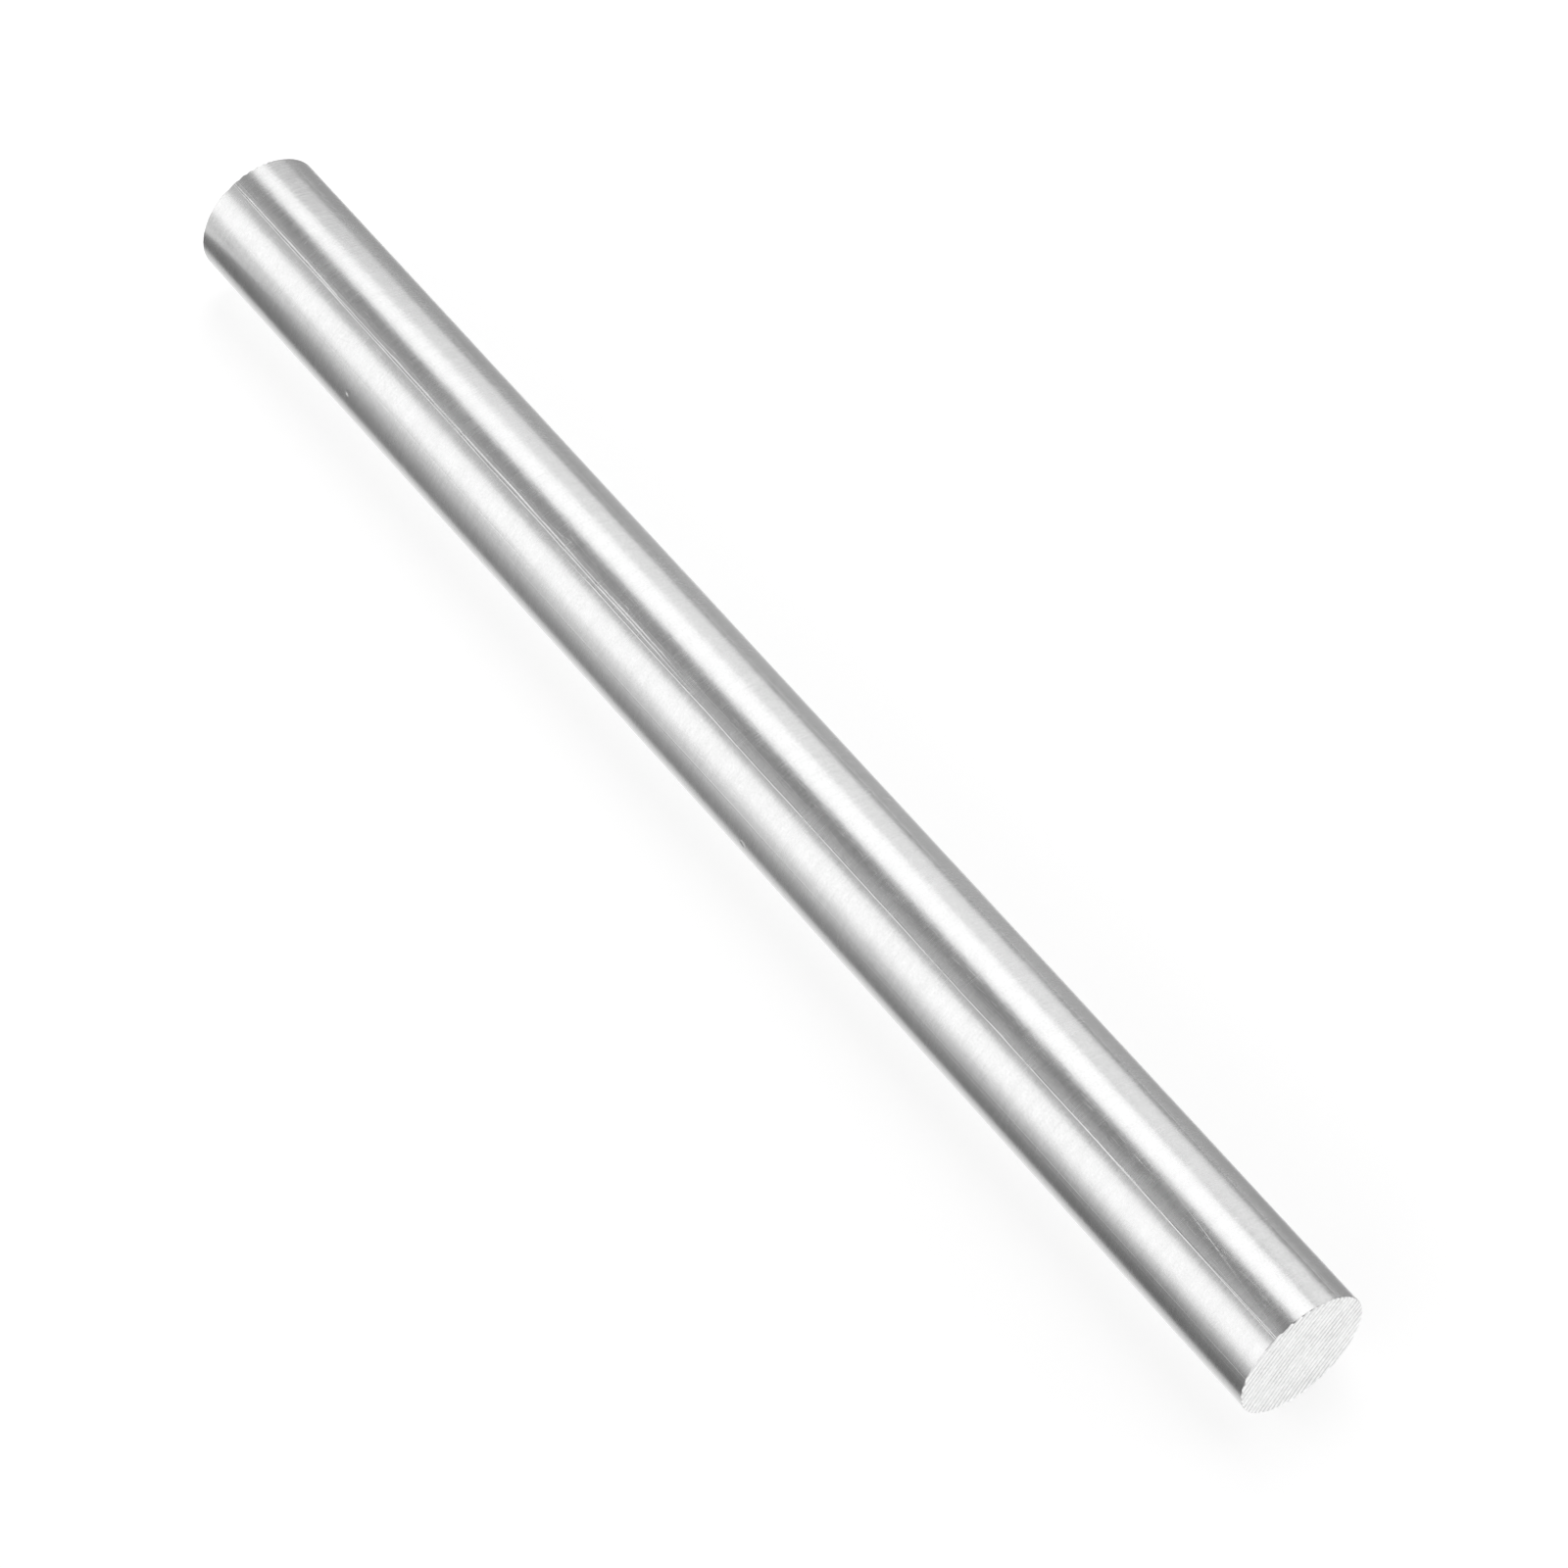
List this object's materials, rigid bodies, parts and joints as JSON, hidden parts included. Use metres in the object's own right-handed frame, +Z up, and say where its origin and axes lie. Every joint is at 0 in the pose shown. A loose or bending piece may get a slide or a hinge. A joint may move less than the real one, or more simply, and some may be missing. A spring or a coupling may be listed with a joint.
{
  "type": "titanium round bar",
  "caption": "Solid round bar of ground titanium stock, sawn square at both ends with lightly broken edges, lying on its side.",
  "frame": {"origin": "middle of the line along which the bar rests on the ground, below the centre of its length", "axes": "+X along the bar, from the far sawn end to the near sawn end; +Z up; +Y across the bar"},
  "size_m": [0.3, 0.025, 0.025],
  "materials": {
    "ground_titanium": "centreless-ground titanium, satin bright with fine hoop marks; the ends are as sawn"
  },
  "bodies": {
    "root": {"round_bar": "ground_titanium"}
  },
  "joints": []
}
